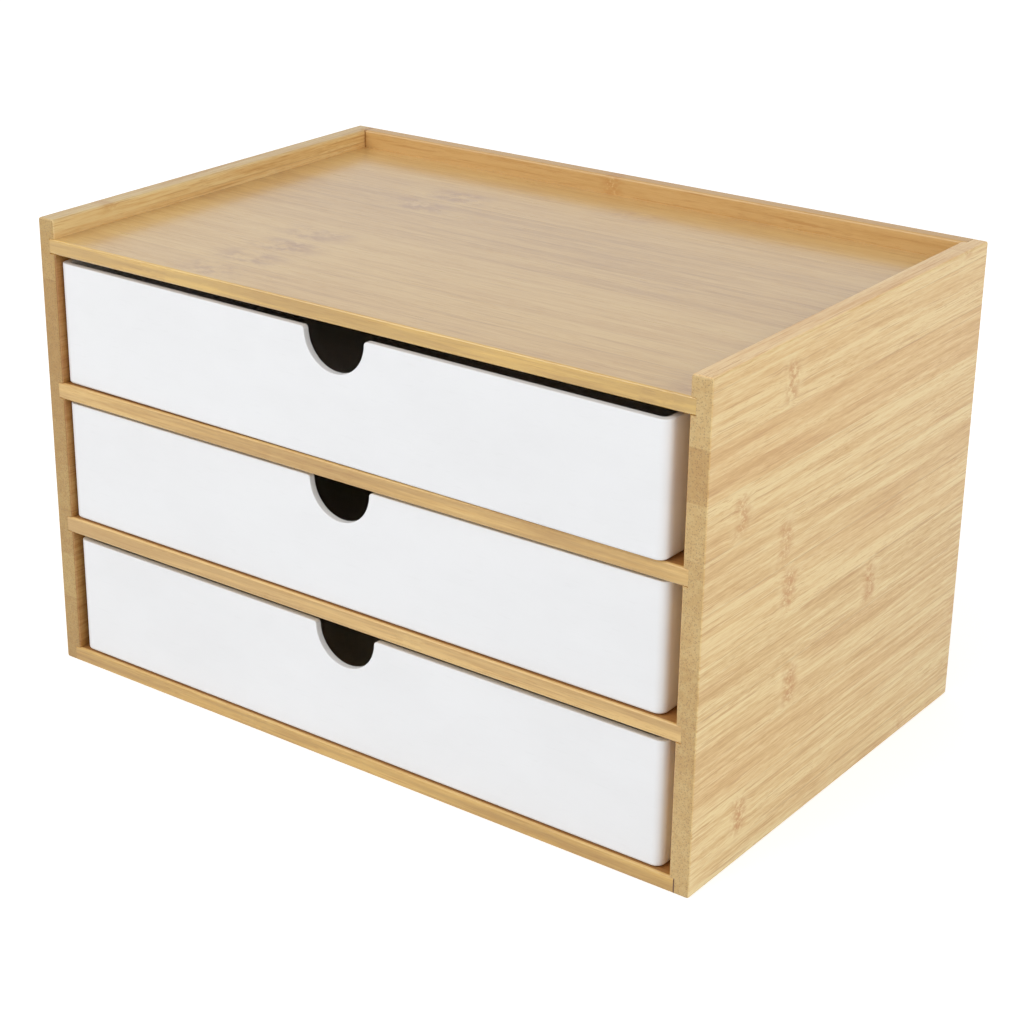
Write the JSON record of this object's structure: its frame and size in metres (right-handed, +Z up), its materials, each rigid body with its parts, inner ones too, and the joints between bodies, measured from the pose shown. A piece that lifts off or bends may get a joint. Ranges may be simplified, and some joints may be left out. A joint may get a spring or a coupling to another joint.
{
  "type": "desktop drawer cabinet",
  "caption": "Small bamboo desk cabinet with a lipped tray top and a stack of white pull-out trays that each have a round finger notch.",
  "frame": {"origin": "middle of the underside, on the surface the cabinet stands on", "axes": "+X to the right across the front, +Y from the drawer fronts to the back, +Z up; the drawers open towards -Y"},
  "size_m": [0.32, 0.2068, 0.1985],
  "materials": {
    "bamboo_side": "pale natural bamboo under a satin lacquer, strips laid flat",
    "bamboo_top": "natural bamboo under a satin lacquer, grain across the front",
    "bamboo_shelf": "natural bamboo under a satin lacquer, grain across the front",
    "white_tray": "white moulded plastic, satin"
  },
  "bodies": {
    "case": {"left_side_panel": "bamboo_side", "right_side_panel": "bamboo_side", "back_panel": "bamboo_side", "top_panel": "bamboo_top", "upper_shelf": "bamboo_shelf", "lower_shelf": "bamboo_shelf", "bottom_panel": "bamboo_shelf"},
    "upper_drawer": {"upper_drawer": "white_tray"},
    "middle_drawer": {"middle_drawer": "white_tray"},
    "lower_drawer": {"lower_drawer": "white_tray"}
  },
  "joints": [
    {"name": "upper_drawer_slide", "type": "slide", "parent": "case", "child": "upper_drawer", "axis": [0, -1, 0], "range_m": [-0.0011, 0.147]},
    {"name": "middle_drawer_slide", "type": "slide", "parent": "case", "child": "middle_drawer", "axis": [0, -1, 0], "range_m": [-0.0015, 0.1485]},
    {"name": "lower_drawer_slide", "type": "slide", "parent": "case", "child": "lower_drawer", "axis": [0, -1, 0], "range_m": [-0.0015, 0.1485]}
  ]
}
